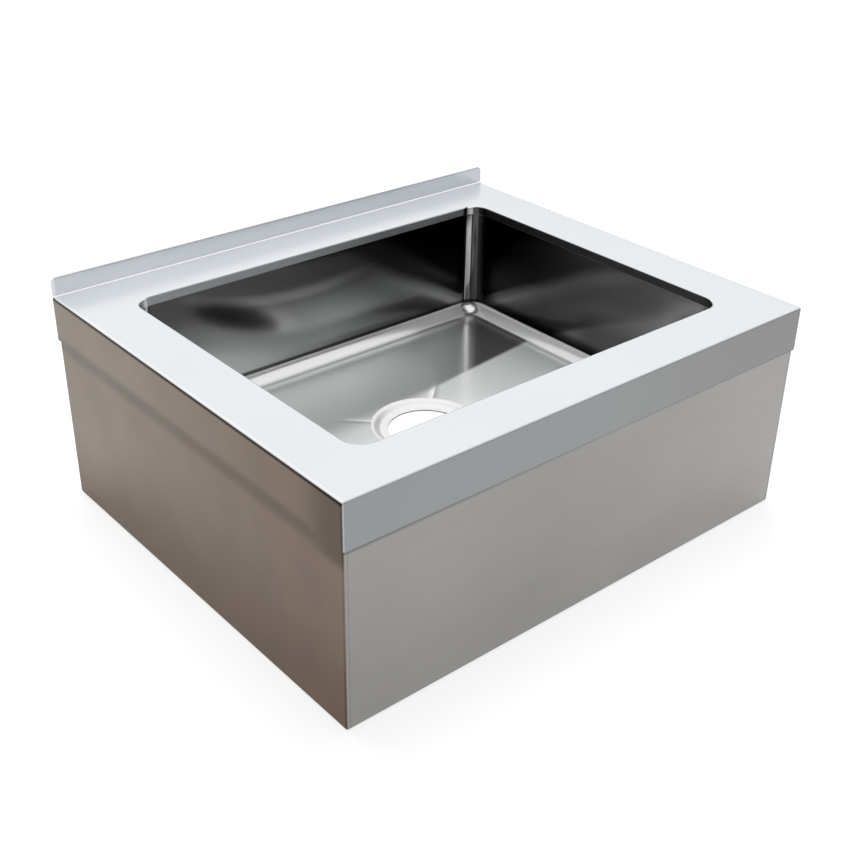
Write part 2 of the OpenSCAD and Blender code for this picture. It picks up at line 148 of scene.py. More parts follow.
class SinkColours(bpy.types.PropertyGroup):
    """Tones of the sheets and brackets"""

    deck: bpy.props.FloatVectorProperty(
        name="Deck", description="Tone of the flat deck",
        default=(0.86, 0.89, 0.92), subtype="COLOR", **TONE)
    # Painted shade: the upstand is a greyer copy of the deck steel, and darker still towards its right
    # end
    upstand: bpy.props.FloatVectorProperty(
        name="Upstand", description="Tone of the upstand at its left end",
        default=(0.76, 0.785, 0.81), subtype="COLOR", **TONE)
    upstand_right_shaded: bpy.props.FloatVectorProperty(
        name="Upstand, right", description="Tone of the upstand at its right end",
        default=(0.62, 0.65, 0.685), subtype="COLOR", **TONE)
    # Painted highlight: a near-white line on the bend into the upstand and along the deck's left fold
    bend_highlight: bpy.props.FloatVectorProperty(
        name="Upstand bend", description="Tone of the bend between the deck and the upstand",
        default=(0.98, 0.98, 1.0), subtype="COLOR", **TONE)
    # Painted light: the drain seat is pure white and mostly matt, so that it looks brightly lit
    seat: bpy.props.FloatVectorProperty(
        name="Drain seat", description="Tone of the pressed seat round the drain hole",
        default=(1.0, 1.0, 1.0), subtype="COLOR", **TONE)
    # Painted light: the pool of light on the front of the bowl floor
    floor_painted_light: bpy.props.FloatVectorProperty(
        name="Bowl floor, lit", description="Tone of the bowl floor where light falls on it",
        default=(0.98, 1.0, 1.0), subtype="COLOR", **TONE)
    # Painted reflections: the light, grey and dark streaks up the bowl's rounded corners; the light one
    # also paints the streak that the floor mirrors, the dark one the dark ring round the corner
    # highlight
    painted_corner_light: bpy.props.FloatVectorProperty(
        name="Corner streak, light", description="Tone of the light streak up a rounded corner",
        default=(0.95, 0.95, 0.95), subtype="COLOR", **TONE)
    painted_corner_grey: bpy.props.FloatVectorProperty(
        name="Corner streak, grey", description="Tone of the grey streak up a rounded corner",
        default=(0.13, 0.125, 0.13), subtype="COLOR", **TONE)
    painted_corner_dark: bpy.props.FloatVectorProperty(
        name="Corner streak, dark", description="Tone of the dark streak up a rounded corner",
        default=(0.03, 0.03, 0.03), subtype="COLOR", **TONE)
    # Painted shade: the collar is a dark copy of the deck steel; the same tone paints the light line up
    # the apron's front corner
    collar: bpy.props.FloatVectorProperty(
        name="Collar", description="Tone of the collar round the bowl opening",
        default=(0.38, 0.40, 0.415), subtype="COLOR", **TONE)
    # Painted highlight: the coves and pressed corners are near white
    cove: bpy.props.FloatVectorProperty(
        name="Bowl coves", description="Tone of the bowl's coves and pressed corners",
        default=(0.99, 1.0, 1.0), subtype="COLOR", **TONE)
    # Painted shade and reflection: the apron is a dark copy of the deck steel, cooler at its left end
    # and darker and warmer at its right
    apron: bpy.props.FloatVectorProperty(
        name="Apron", description="Tone of the front apron at its left end",
        default=(0.270, 0.284, 0.286), subtype="COLOR", **TONE)
    apron_right_shade: bpy.props.FloatVectorProperty(
        name="Apron, right", description="Tone of the front apron at its right end",
        default=(0.242, 0.237, 0.239), subtype="COLOR", **TONE)
    # Painted shade and reflection: what faces left is a dark brown copy of the steel, darkest and
    # brownest by the floor
    left_shade_near: bpy.props.FloatVectorProperty(
        name="Left side, near", description="Tone of what faces left, by the front corner",
        default=(0.160, 0.120, 0.092), subtype="COLOR", **TONE)
    left_shade_rear: bpy.props.FloatVectorProperty(
        name="Left side, rear", description="Tone of what faces left, by the rear corner",
        default=(0.190, 0.156, 0.124), subtype="COLOR", **TONE)
    left_shade_low: bpy.props.FloatVectorProperty(
        name="Left side, low", description="Tone of what faces left, by the floor",
        default=(0.100, 0.063, 0.039), subtype="COLOR", **TONE)
    bowl: bpy.props.FloatVectorProperty(
        name="Bowl floor", description="Tone of the rear of the bowl floor",
        default=(0.72, 0.75, 0.73), subtype="COLOR", **TONE)
    # Painted reflection and shade: the bowl's mirror walls are pale at the foot and dark at the top
    wall_painted_low: bpy.props.FloatVectorProperty(
        name="Rear wall, low", description="Tone of the bowl's rear wall at its foot",
        default=(0.50, 0.505, 0.505), subtype="COLOR", **TONE)
    wall_painted_high: bpy.props.FloatVectorProperty(
        name="Rear wall, high", description="Tone of the bowl's rear wall at its top",
        default=(0.085, 0.084, 0.084), subtype="COLOR", **TONE)
    end_painted_low: bpy.props.FloatVectorProperty(
        name="Right wall, low", description="Tone of the bowl's right wall at its foot",
        default=(0.34, 0.335, 0.335), subtype="COLOR", **TONE)
    end_painted_high: bpy.props.FloatVectorProperty(
        name="Right wall, high", description="Tone of the bowl's right wall at its top",
        default=(0.17, 0.167, 0.167), subtype="COLOR", **TONE)
    wall_plain: bpy.props.FloatVectorProperty(
        name="Front and left walls", description="Tone of the bowl's front and left walls",
        default=(0.50, 0.50, 0.50), subtype="COLOR", **TONE)
    # Painted shade: the collar is nearly black over the bowl's end walls
    collar_painted_dark: bpy.props.FloatVectorProperty(
        name="Collar, ends", description="Tone of the collar over the bowl's end walls",
        default=(0.045, 0.045, 0.045), subtype="COLOR", **TONE)
    panel: bpy.props.FloatVectorProperty(
        name="Panels", description="Tone of the cabinet panels",
        default=(0.290, 0.285, 0.276), subtype="COLOR", **TONE)
    # Painted light: the front panel lightens towards its right end
    panel_painted_light_right: bpy.props.FloatVectorProperty(
        name="Panels, right", description="Tone of the front panel at its right end",
        default=(0.323, 0.316, 0.309), subtype="COLOR", **TONE)
    inner: bpy.props.FloatVectorProperty(
        name="Brackets", description="Tone of the unpolished brackets",
        default=(0.42, 0.43, 0.44), subtype="COLOR", **TONE)


# ---------------------------------------------------------------- shader expressions

class Wire:
    """One output of a node; a sum or product of wires and numbers adds its Math nodes."""

    def __init__(self, graph, socket):
        self.graph = graph
        self.socket = socket

    def maths(self, operation, first, second=None):
        inputs = {0: first} if second is None else {0: first, 1: second}
        return self.graph.node("ShaderNodeMath", {"operation": operation}, inputs)

    def __add__(self, other):
        return self.maths("ADD", self, other)

    __radd__ = __add__

    def __sub__(self, other):
        return self.maths("SUBTRACT", self, other)

    def __rsub__(self, other):
        return self.maths("SUBTRACT", other, self)

    def __mul__(self, other):
        return self.maths("MULTIPLY", self, other)

    __rmul__ = __mul__

    def __truediv__(self, other):
        return self.maths("DIVIDE", self, other)

    def __pow__(self, other):
        return self.maths("POWER", self, other)

    def __abs__(self):
        return self.maths("ABSOLUTE", self)

    def larger(self, other):
        return self.maths("MAXIMUM", self, other)

    def step(self, low, high):
        """0 below low, 1 above high and a smooth S between them."""
        return self.graph.node(
            "ShaderNodeMapRange", {"interpolation_type": "SMOOTHSTEP"},
            {"Value": self, "From Min": low, "From Max": high, "To Min": 0.0, "To Max": 1.0})

    def band(self, low, first, last, high):
        """1 from first to last, 0 outside low and high, and smooth between."""
        return self.step(low, first) * (1.0 - self.step(last, high))


class Graph:
    """The nodes of one material or of the world."""

    def __init__(self, tree):
        self.tree = tree
        tree.nodes.clear()

    def node(self, kind, settings=None, inputs=None, output=0):
        """Adds a node, makes its settings, fills its sockets and returns one output."""
        made = self.tree.nodes.new(kind)
        for name, value in (settings or {}).items():
            setattr(made, name, value)
        for name, value in (inputs or {}).items():
            if isinstance(value, Wire):
                self.tree.links.new(value.socket, made.inputs[name])
            else:
                made.inputs[name].default_value = value
        return Wire(self, made.outputs[output]) if made.outputs else made

    def blend(self, factor, first, second):
        """A colour that goes from first to second with the factor."""
        def as_colour(value):
            return value if isinstance(value, Wire) else (*value[:3], 1.0)
        return self.node(
            "ShaderNodeMix", {"data_type": "RGBA"},
            {0: factor, 6: as_colour(first), 7: as_colour(second)}, output=2)

    def vector(self, operation, first, second=None):
        inputs = {0: first} if second is None else {0: first, 1: second}
        return self.node("ShaderNodeVectorMath", {"operation": operation}, inputs)

    def scaled(self, vector, factor):
        """A vector or colour, as a wire or as plain numbers, times the factor."""
        return self.node(
            "ShaderNodeVectorMath", {"operation": "SCALE"},
            {0: vector if isinstance(vector, Wire) else vector[:3], "Scale": factor})

    def joined(self, x=0.0, y=0.0, z=0.0):
        return self.node("ShaderNodeCombineXYZ", None, {0: x, 1: y, 2: z})

    def parts(self, vector):
        made = self.node("ShaderNodeSeparateXYZ", None, {0: vector}).socket.node
        return [Wire(self, made.outputs[i]) for i in range(3)]

    def noise(self, vector, scale, stretch=(1.0, 1.0, 1.0), detail=3.0, roughness=0.5, output=0):
        """Noise with scale cells per metre, or scale * stretch where that is given."""
        placed = self.node("ShaderNodeMapping", None, {"Vector": vector, "Scale": stretch})
        return self.node(
            "ShaderNodeTexNoise", None,
            {"Vector": placed, "Scale": scale, "Detail": detail, "Roughness": roughness}, output)


class Skin:
    """A new material, with where each point of its surface is and which way it faces."""

    def __init__(self, name):
        self.material = bpy.data.materials.new(name)
        self.material.use_nodes = True
        self.g = Graph(self.material.node_tree)
        self.at = self.g.node("ShaderNodeTexCoord", output=3)
        self.x, self.y, self.z = self.g.parts(self.at)
        self.normal = self.g.node("ShaderNodeNewGeometry", output=1)
        self.facing_x, self.facing_y, self.facing_z = self.g.parts(self.normal)

    @property
    def facing_left(self):
        """1 where the surface faces straight left, -1 where it faces right."""
        return self.facing_x * -1.0

    @property
    def facing_front(self):
        """1 where the surface faces straight to the front, -1 where it faces the rear."""
        return self.facing_y * -1.0

    def shaded(self, tone, roughness, normal, metallic=0.0):
        """Ends the material in a Principled shader and returns it."""
        shader = self.g.node(
            "ShaderNodeBsdfPrincipled", None,
            {"Base Color": tone, "Roughness": roughness, "Metallic": metallic, "Normal": normal})
        self.g.node("ShaderNodeOutputMaterial", None, {"Surface": shader})
        return self.material


def brushed(skin, tone, roughness, grain, mottle, cloud, lean=None, metallic=1.0):
    """Stainless sheet with a straight grain: along X, and along Y where it faces left or right.

    The grain tips the normal across itself by grain * (noise - 1/2), so that a reflection is
    smeared across the grain and stays sharper along it. lean is one more vector that is added
    to the normal. Streaks, spots and clouds vary the tone and the roughness.
    """
    g = skin.g
    sideways = abs(skin.facing_x).step(0.6, 0.8)
    along_x = g.noise(skin.at, 1.0, (GRAIN_ALONG, GRAIN_ACROSS, GRAIN_ACROSS), detail=1.0) - 0.5
    along_y = g.noise(skin.at, 1.0, (GRAIN_ACROSS, GRAIN_ALONG, GRAIN_ACROSS), detail=1.0) - 0.5
    across = g.blend(sideways, g.joined(0.0, along_x, along_x), g.joined(along_y, 0.0, along_y))
    bent = g.vector("ADD", skin.normal, g.scaled(across, grain))
    if lean is not None:
        bent = g.vector("ADD", bent, lean)
    bent = g.vector("NORMALIZE", bent)

    streak_x = g.noise(skin.at, 1.0, (STREAK_ALONG, STREAK_ACROSS, STREAK_ACROSS))
    streak_y = g.noise(skin.at, 1.0, (STREAK_ACROSS, STREAK_ALONG, STREAK_ACROSS))
    streak = streak_x + (streak_y - streak_x) * sideways - 0.5
    clouds = g.noise(skin.at, 7.0) - 0.5
    spots = g.noise(skin.at, 60.0, detail=4.0, roughness=0.7) - 0.5
    worn = streak * mottle + clouds * cloud + spots * (mottle * 0.5)
    tone = g.scaled(tone, worn * 2.0 + 1.0)
    return skin.shaded(tone, worn * 0.6 + along_x * (grain * 0.3) + roughness, bent, metallic)


def corner_mask(skin, s):
    """1 in the bowl's rounded upright corners and 0 along its straight sides."""
    start_x, start_y = [high - s.sheet - s.corner for high in BOWL_HIGH[:2]]
    soft = 0.0005
    past_x = abs(skin.x).step(start_x - soft, start_x + soft)
    return past_x * abs(skin.y).step(start_y - soft, start_y + soft)


def with_corner(skin, tone, c, mask):
    """The tone with painted reflection streaks, light, grey and dark, up a polished, rounded upright
    corner.

    The streaks follow the direction that the corner faces, so they run straight up it. turn
    goes from 0 at the rear wall to 1 at an end wall.
    """
    g = skin.g
    inward = skin.facing_front.step(0.1, 0.2)
    turn = abs(skin.facing_x)
    right = mask * inward * skin.facing_left.step(0.05, 0.1)
    left = mask * inward * skin.facing_x.step(0.1, 0.3)
    tone = g.blend(right * turn.band(0.06, 0.12, 0.22, 0.28), tone, c.painted_corner_dark)
    tone = g.blend(right * turn.step(0.58, 0.64), tone, c.painted_corner_dark)
    tone = g.blend(right * turn.band(0.58, 0.64, 0.80, 0.88), tone, c.painted_corner_grey)
    tone = g.blend(right * turn.band(0.22, 0.30, 0.50, 0.58), tone, c.painted_corner_light)
    return g.blend(left, tone, c.painted_corner_light)


def left_side(skin, c, joint_z):
    """Painted shade on what faces left: darker and browner towards the floor, with random patches, and
    a painted shadow band where the apron ends, darker still by the front corner.
    """
    g = skin.g
    patches = g.noise(skin.at, 16.0) - 0.5
    brown_top = 0.16 - skin.y.step(0.05, 0.25) * 0.06
    low = 1.0 - skin.z.step(-0.004, brown_top)
    tone = g.blend(low, g.blend(skin.y.step(-0.2, 0.2), c.left_shade_near, c.left_shade_rear), c.left_shade_low)
    # Painted shadow band along the joint between apron and panel, and over the front corner
    joint = skin.z.band(joint_z - 0.019, joint_z - 0.007, joint_z, joint_z + 0.010)
    corner = (1.0 - skin.y.step(-0.25, -0.20)) * skin.z.step(joint_z - 0.024, joint_z - 0.010)
    joint_shade = (joint * 0.31).larger(corner * 0.46)
    return g.scaled(tone, (patches * 0.3 + 1.0) * (1.0 - joint_shade))


def deck_steel(c, s, deck_z, apron_z):
    """Brushed deck: pale on the flat, with painted shade that greys the upstand and darkens the apron
    and the collar, and painted highlights on its bends.
    """
    skin = Skin("deck brushed steel")
    g = skin.g
    upright = 1.0 - abs(skin.facing_z).step(0.45, 0.97)
    above = skin.z.step(deck_z - 0.0002, deck_z + 0.0006)
    below = upright * (1.0 - above)
    to_left = skin.facing_left.step(0.55, 0.75)

    # The upright parts below the deck, with painted shade: the apron outside, the collar round the
    # opening inside
    outer = abs(skin.x).step(0.27, 0.28).larger(abs(skin.y).step(0.22, 0.23))
    # Painted shade: the apron is darker towards its right end
    front = g.blend(skin.x.step(-0.1, 0.3), c.apron, c.apron_right_shade)
    # Painted highlight: a light line up the apron's front left corner
    painted_glint = skin.facing_left.step(0.1, 0.35) * skin.facing_front.step(0.3, 0.5)
    front = g.blend(painted_glint, front, c.collar)
    # Painted shade: a dark line under the deck's left fold
    fold_shade_line = skin.z.step(deck_z - 0.0046, deck_z - 0.0036)
    left = g.scaled(left_side(skin, c, apron_z), 1.0 - fold_shade_line * 0.75)
    edge_line = (0.3 - to_left * 0.2) * (1.0 - skin.z.step(apron_z + 0.0006, apron_z + 0.0014))
    apron = g.scaled(g.blend(to_left, front, left), 1.0 - edge_line)
    # Painted light and shade: the collar is lighter towards the right and nearly black where it faces
    # an end wall
    collar = g.scaled(c.collar, skin.x.step(0.08, 0.22) * 0.6 + 1.0)
    collar = g.blend(abs(skin.facing_x).step(0.55, 0.75), collar, c.collar_painted_dark)
    mask = corner_mask(skin, s)
    collar = with_corner(skin, collar, c, mask)
    side = g.blend(outer, collar, apron)

    # The upstand, its bend into the deck and the deck's left edge, with painted shade on the upstand
    # and painted highlights on the bend and the left edge
    upstand = g.blend(skin.x.step(-0.3, 0.3), c.upstand, c.upstand_right_shaded)
    top_z = DECK_HIGH.z
    # A band just below the upstand's top is a fifth darker
    upstand = g.scaled(upstand, 1.0 - skin.z.step(top_z - 0.0030, top_z - 0.0015) * 0.2)
    on_upstand = (upright * above).larger(skin.z.step(top_z - 0.0010, top_z - 0.0005))
    top = g.blend(on_upstand, c.deck, upstand)
    bend_highlight = skin.facing_z.step(0.1, 0.35) * (1.0 - skin.facing_z.step(0.8, 0.97))
    bend_highlight = bend_highlight * skin.y.step(DECK_HIGH.y - 0.005, DECK_HIGH.y - 0.004)
    left_edge_highlight = 1.0 - skin.x.step(DECK_LOW.x + s.fold, DECK_LOW.x + s.fold + 0.0015)
    top = g.blend(bend_highlight.larger(left_edge_highlight), top, c.bend_highlight)
    tone = g.blend(below, top, side)
    metallic = (below * outer.larger(mask)).larger(bend_highlight) * 0.35 + 0.65
    # The denoiser treats metal of a roughness over 0.2739 in another way, so all of the deck
    # stays below it: one that crosses it shows a patch of grain.
    return brushed(skin, tone, 0.264, grain=0.004, mottle=0.001, cloud=0.03, metallic=metallic)


def wall_look(skin, c, floor_z, mask):
    """Tone of the bowl's upright walls, with painted reflections and shade: darker towards the top and
    the rear right corner.
    """
    g = skin.g
    up = skin.z - floor_z
    height = up.step(0.03, 0.12)
    end_on = abs(skin.facing_x).step(0.5, 0.95)
    lengthwise = 1.0 - end_on
    to_left = skin.facing_left.step(0.6, 0.9)
    tone = g.blend(
        end_on, g.blend(height, c.wall_painted_low, c.wall_painted_high), g.blend(height, c.end_painted_low, c.end_painted_high))
    hidden = skin.facing_y.step(0.5, 0.9).larger(skin.facing_x.step(0.5, 0.9))
    tone = g.blend(hidden, tone, c.wall_plain)

    # Painted light and shade: the right wall is lighter near the front, and darker to the rear and low
    # down in front
    near_end = (skin.y * -1.0).step(0.08, 0.18) * height * 0.5
    far_end = skin.y.step(-0.12, 0.08) * 0.5
    low_end = (1.0 - skin.y.step(-0.02, 0.06)) * (1.0 - up.step(0.05, 0.10)) * 0.65
    tone = g.scaled(tone, to_left * (near_end - far_end.larger(low_end)) + 1.0)

    # Painted shadows and dark reflections: towards the rear right corner, fanning out over the rear
    # wall, and at the foot
    shadow = skin.x.step(0.04, 0.24) * skin.y.step(-0.05, 0.18) * height * 0.92
    fan = ((skin.x - 0.046) * 0.741 + up - 0.150).step(0.0, 0.045) * lengthwise * 0.95
    lower = lengthwise * skin.x.step(0.02, 0.16) * 0.56
    rear_foot = up.band(0.013, 0.018, 0.023, 0.033) * lengthwise * skin.x.step(-0.12, 0.12) * 0.6
    beside = to_left * skin.y.step(0.150, 0.178) * 0.9
    end_foot = to_left * up.band(0.006, 0.012, 0.022, 0.034) * 0.8
    on_rear = shadow.larger(fan).larger(lower).larger(rear_foot)
    tone = g.scaled(tone, 1.0 - on_rear.larger(beside).larger(end_foot))

    # A painted pale reflection arc hangs on the rear wall, its crown 0.102 above the floor at x =
    # -0.015
    from_crown = skin.x + 0.015
    arc = from_crown * from_crown * -1.1 + up - 0.102
    arc = arc.band(-0.011, -0.001, 0.001, 0.011) * skin.x.band(-0.21, -0.15, 0.0, 0.10)
    tone = g.scaled(tone, arc * skin.facing_front.step(0.8, 0.9) * 0.9 + 1.0)
    return with_corner(skin, tone, c, mask)


def floor_look(skin, c):
    """Tone of the bowl floor, with a painted pool of light on its front.

    The painted light reaches back to the edge y = 0.056 + 0.11 x, which is soft at the left. Behind
    it painted shade darkens the floor towards the mirror line of the rear right corner, and beyond it.
    """
    g = skin.g
    edge = skin.y - skin.x * 0.11 - 0.056
    softness = 0.022 - skin.x.step(-0.08, 0.10) * 0.018
    lit = 1.0 - (edge / softness).step(-1.0, 1.0)
    corner_x, corner_y = 0.2347, 0.1927
    beyond = (skin.x - corner_x) * 0.745 - (skin.y - corner_y) * 0.667
    shade = beyond.step(-0.05, -0.002) * 0.28 + beyond.step(-0.002, 0.015) * 0.50
    bright = g.scaled(c.floor_painted_light, 1.0 - skin.x.step(0.10, 0.25) * 0.3)
    tone = g.blend(lit, g.scaled(c.bowl, 1.0 - shade), bright)

    # Painted highlight and shade on the two rear creases by the drain: a bright and a dark side, fading
    # outwards
    across = abs(skin.x) * 0.681 - skin.y * 0.732 - 0.0003
    along = abs(skin.x) * 0.732 + skin.y * 0.681
    bright_side = across.band(-0.010, -0.0008, -0.0003, 0.0003) * 0.5
    dark_side = across.band(-0.0003, 0.0003, 0.0008, 0.008) * 0.3
    fade = (1.0 - along.step(0.078, 0.112)) * skin.y.step(0.0, 0.02)
    tone = g.scaled(tone, (bright_side - dark_side) * fade + 1.0)

    # Painted reflection: the light streak of the rear right corner, mirrored in the floor
    streak = beyond.band(-0.0045, -0.0010, 0.0005, 0.0040) * skin.y.step(-0.02, 0.06)
    return g.blend(streak * 0.6, tone, c.painted_corner_light), lit


def bowl_steel(c, s, floor_z):
    """Polished bowl: dark mirror walls, a satin floor with a painted pool of light, and a matt drain
    seat, with painted highlights and shade.
    """
    skin = Skin("bowl polished steel")
    g = skin.g
    mask = corner_mask(skin, s)
    wall = 1.0 - skin.facing_z.step(0.02, 0.14)
    flat = skin.facing_z.step(0.9, 0.99)
    floor, lit = floor_look(skin, c)
    # Painted highlight: the coves are near white
    tone = g.blend(wall, g.blend(flat, c.cove, floor), wall_look(skin, c, floor_z, mask))
    # Painted shade: a dark line along the top of the coves
    foot = (skin.z - floor_z).band(0.0143, 0.0158, 0.0185, 0.0215)
    tone = g.scaled(tone, 1.0 - foot * 0.8)

    # Painted highlight: the pressed corners between two coves hold a pale ball with a painted dark ring
    toward = abs(skin.facing_x) * 0.38 + abs(skin.facing_y) * 0.71 + skin.facing_z * 0.59
    ball_highlight = mask * toward.step(0.93, 0.95)
    tone = g.blend(mask * toward.band(0.78, 0.84, 0.91, 0.93) * 0.75, tone, c.painted_corner_dark)
    tone = g.blend(ball_highlight, tone, (0.80, 0.80, 0.81))

    distance = (skin.x * skin.x + skin.y * skin.y) ** 0.5
    seat = 1.0 - distance.step(s.seat_rim, s.seat_rim + 0.002)
    # Painted light: the drain seat is pure white
    tone = g.blend(seat, tone, c.seat)
    cove = skin.facing_z.band(0.02, 0.14, 0.9, 0.98) * (1.0 - ball_highlight)
    roughness = 0.14 + cove * 0.08 + flat * 0.06 + seat * 0.25
    slope = 1.0 - skin.facing_z.step(0.90, 0.985)
    satin = (flat * (lit * 0.3 + 0.4)).larger(seat * (1.0 - slope * 0.7))
    satin = satin.larger(cove * (1.0 - seat) * (skin.x.step(0.05, 0.2) * 0.3 + 0.4))

    # Slight waves in the sheet and a hollow in the rear wall bend what the walls mirror
    wave = g.noise(skin.at, 4.0, detail=1.0, output=1)
    wave = g.scaled(g.vector("SUBTRACT", wave, (0.5, 0.5, 0.5)), wall * 0.10)
    bow = (skin.x.step(-0.19, -0.03) * 2.0 - 1.0) * skin.facing_front.step(0.8, 0.9) * 0.04
    stretch = g.joined(bow * -1.0, 0.0, bow + 0.022 * wall)
    lean = g.vector("ADD", wave, stretch)
    return brushed(
        skin, tone, roughness, grain=0.04, mottle=0.03, cloud=0.06, lean=lean,
        metallic=1.0 - satin)


def panel_steel(c, top):
    """Satin cabinet sheet: warm grey with painted light that lightens it to the right, and painted
    shade: browner on the left, dark under the apron and at the foot.
    """
    skin = Skin("panel brushed steel")
    g = skin.g
    front = g.blend(skin.x.step(-0.1, 0.35), c.panel, c.panel_painted_light_right)
    on_left = skin.facing_left.step(0.4, 0.8)
    near_corner = 1.0 - skin.x.step(-0.30, 0.05)
    # Painted shadow: a dark line under the apron, strongest by the front left corner
    apron_shadow_line = skin.z.band(top - 0.0045, top - 0.0020, top + 0.0010, top + 0.0030)
    apron_shadow_line = apron_shadow_line * (near_corner * 0.35 + 0.05) * skin.facing_front.step(0.5, 0.8)
    # Painted shade: a dark line along the foot
    foot_shade_line = (1.0 - skin.z.step(0.0008, 0.0028)) * 0.6
    tone = g.blend(on_left, front, left_side(skin, c, top))
    tone = g.scaled(tone, 1.0 - apron_shadow_line.larger(foot_shade_line))
    grain = 0.20 - on_left * 0.15
    return brushed(skin, tone, 0.30, grain, mottle=0.03 - on_left * 0.022, cloud=0.10)


def plain_steel(name, tone, roughness):
    """Steel as it comes from the mill, of one even tone."""
    return brushed(Skin(name), tone, roughness, grain=0.05, mottle=0.05, cloud=0.05)


def rubber(name, tone, roughness, ribs):
    """Dull black rubber with fine ribs along Y."""
    skin = Skin(name)
    g = skin.g
    wave = g.node("ShaderNodeMath", {"operation": "SINE"}, {0: skin.x * ribs})
    specks = g.noise(skin.at, 300.0)
    bump = g.node(
        "ShaderNodeBump", None, {"Height": wave + specks, "Distance": 0.0003, "Strength": 0.5})
    tone = g.blend(specks, [c * 0.7 for c in tone], [c * 1.4 for c in tone])
    return skin.shaded(tone, specks * 0.2 + roughness, bump)


# ---------------------------------------------------------------- surfaces

def along_run(length, pitch):
    """Distances along a run of the given length: close cuts at both ends, even steps between."""
    last = CLOSE_CUTS[-1]
    steps = max(2, int(round((length - 2 * last) / pitch)))
    middle = np.linspace(last, length - last, steps + 1)
    return np.concatenate([CLOSE_CUTS[:-1], middle, (length - CLOSE_CUTS[:-1])[::-1]])


def bend(centre, radius, start, stop, hollow=False, steps=10):
    """Profile points centre + radius * (cos a, sin a) for a from start to stop degrees.

    Each point has its normal beside it, away from the centre, or towards it where hollow.
    """
    angle = np.radians(np.linspace(start, stop, steps + 1))
    way = np.stack([np.cos(angle), np.sin(angle)], 1)
    return np.concatenate([np.array(centre) + radius * way, -way if hollow else way], 1)


def straight(start, stop, normal, steps=6, lead=0.0004):
    """Profile points on the line from start to stop, the first and last a lead inside its ends."""
    start, stop = np.array(start, float), np.array(stop, float)
    near = lead / np.linalg.norm(stop - start)
    share = np.concatenate([[near], np.linspace(0.0, 1.0, steps + 1)[1:-1], [1.0 - near]])
    points = start + (stop - start) * share[:, None]
    return np.concatenate([points, np.broadcast_to(normal, points.shape)], 1)


class Round:
    """Columns right round a rectangle, anticlockwise from the rear left corner.

    inner holds the corners' centres and the points between them, out the unit direction
    outwards there, and edge the matching points of a larger rectangle with sharp corners.
    A corner keeps its centre while its direction turns through 90 degrees. side is the number
    of the side that a column is on, and a half more in the corner after it.
    """

    def __init__(self, inner_half, edge_half, pitch=0.012, turns=16):
        inner_half, edge_half = np.array(inner_half), np.array(edge_half)
        inner, out, edge, side = [], [], [], []
        for number, normal in enumerate(OUTWARD):
            travel = np.array([-normal[1], normal[0]])
            across = int(abs(normal[1]) > 0.5)
            length = 2 * edge_half[1 - across]
            run = along_run(length, pitch)
            share = (2 * run / length - 1)[:, None]
            inner.append(normal * inner_half[across] + travel * inner_half[1 - across] * share)
            edge.append(normal * edge_half[across] + travel * edge_half[1 - across] * share)
            out.append(np.repeat(normal[None], len(run), 0))
            side.append(np.full(len(run), number))
            angle = np.radians(np.linspace(0.0, 90.0, turns + 1)[1:-1])[:, None]
            turned = normal * np.cos(angle) + travel * np.sin(angle)
            inner.append(np.repeat(inner[-1][-1:], len(turned), 0))
            edge.append(np.repeat(edge[-1][-1:], len(turned), 0))
            out.append(turned)
            side.append(np.full(len(turned), number + 0.5))
        self.inner = np.concatenate(inner)
        self.out = np.concatenate(out)
        self.edge = np.concatenate(edge)
        self.side = np.concatenate(side)


def carried(base, out, profile, sheet):
    """Two layers of points, the seen side of a sheet and the side below it.

    The profile's points (r, z) are carried along the columns to base + r * out at height z.
    The lower layer is the same profile moved back along its own normals by the sheet.
    """
    layers = []
    for depth in (0.0, sheet):
        line = profile[:, :2] - depth * profile[:, 2:]
        flat = base[None] + line[:, None, :1] * out[None]
        height = np.broadcast_to(line[:, None, 1:], (*flat.shape[:2], 1))
        layers.append(np.concatenate([flat, height], 2))
    return np.stack(layers)


def level(flat, height, sheet):
    """Two layers of a sheet that lies flat or nearly so, the lower one straight below."""
    height = np.broadcast_to(height, flat.shape[:2])[..., None]
    return np.stack([np.concatenate([flat, height - depth], 2) for depth in (0.0, sheet)])


def drawn(layers, height, share):
    """Rows that go on from the layers' last row to the given height of each column."""
    row = layers[:, -1:]
    rows = np.repeat(row, len(share), 1)
    rows[..., 2] += (height - row[..., 2]) * share[None, :, None]
    return np.concatenate([layers, rows], 1)


def grid_faces(rows, columns, closed, first):
    """Quads between neighbouring rows and columns, numbered from first."""
    index = np.arange(rows * columns).reshape(rows, columns) + first
    beside = np.roll(index, -1, axis=1) if closed else index[:, 1:]
    index = index if closed else index[:, :-1]
    return np.stack([index[:-1], index[1:], beside[1:], beside[:-1]], -1).reshape(-1, 4)


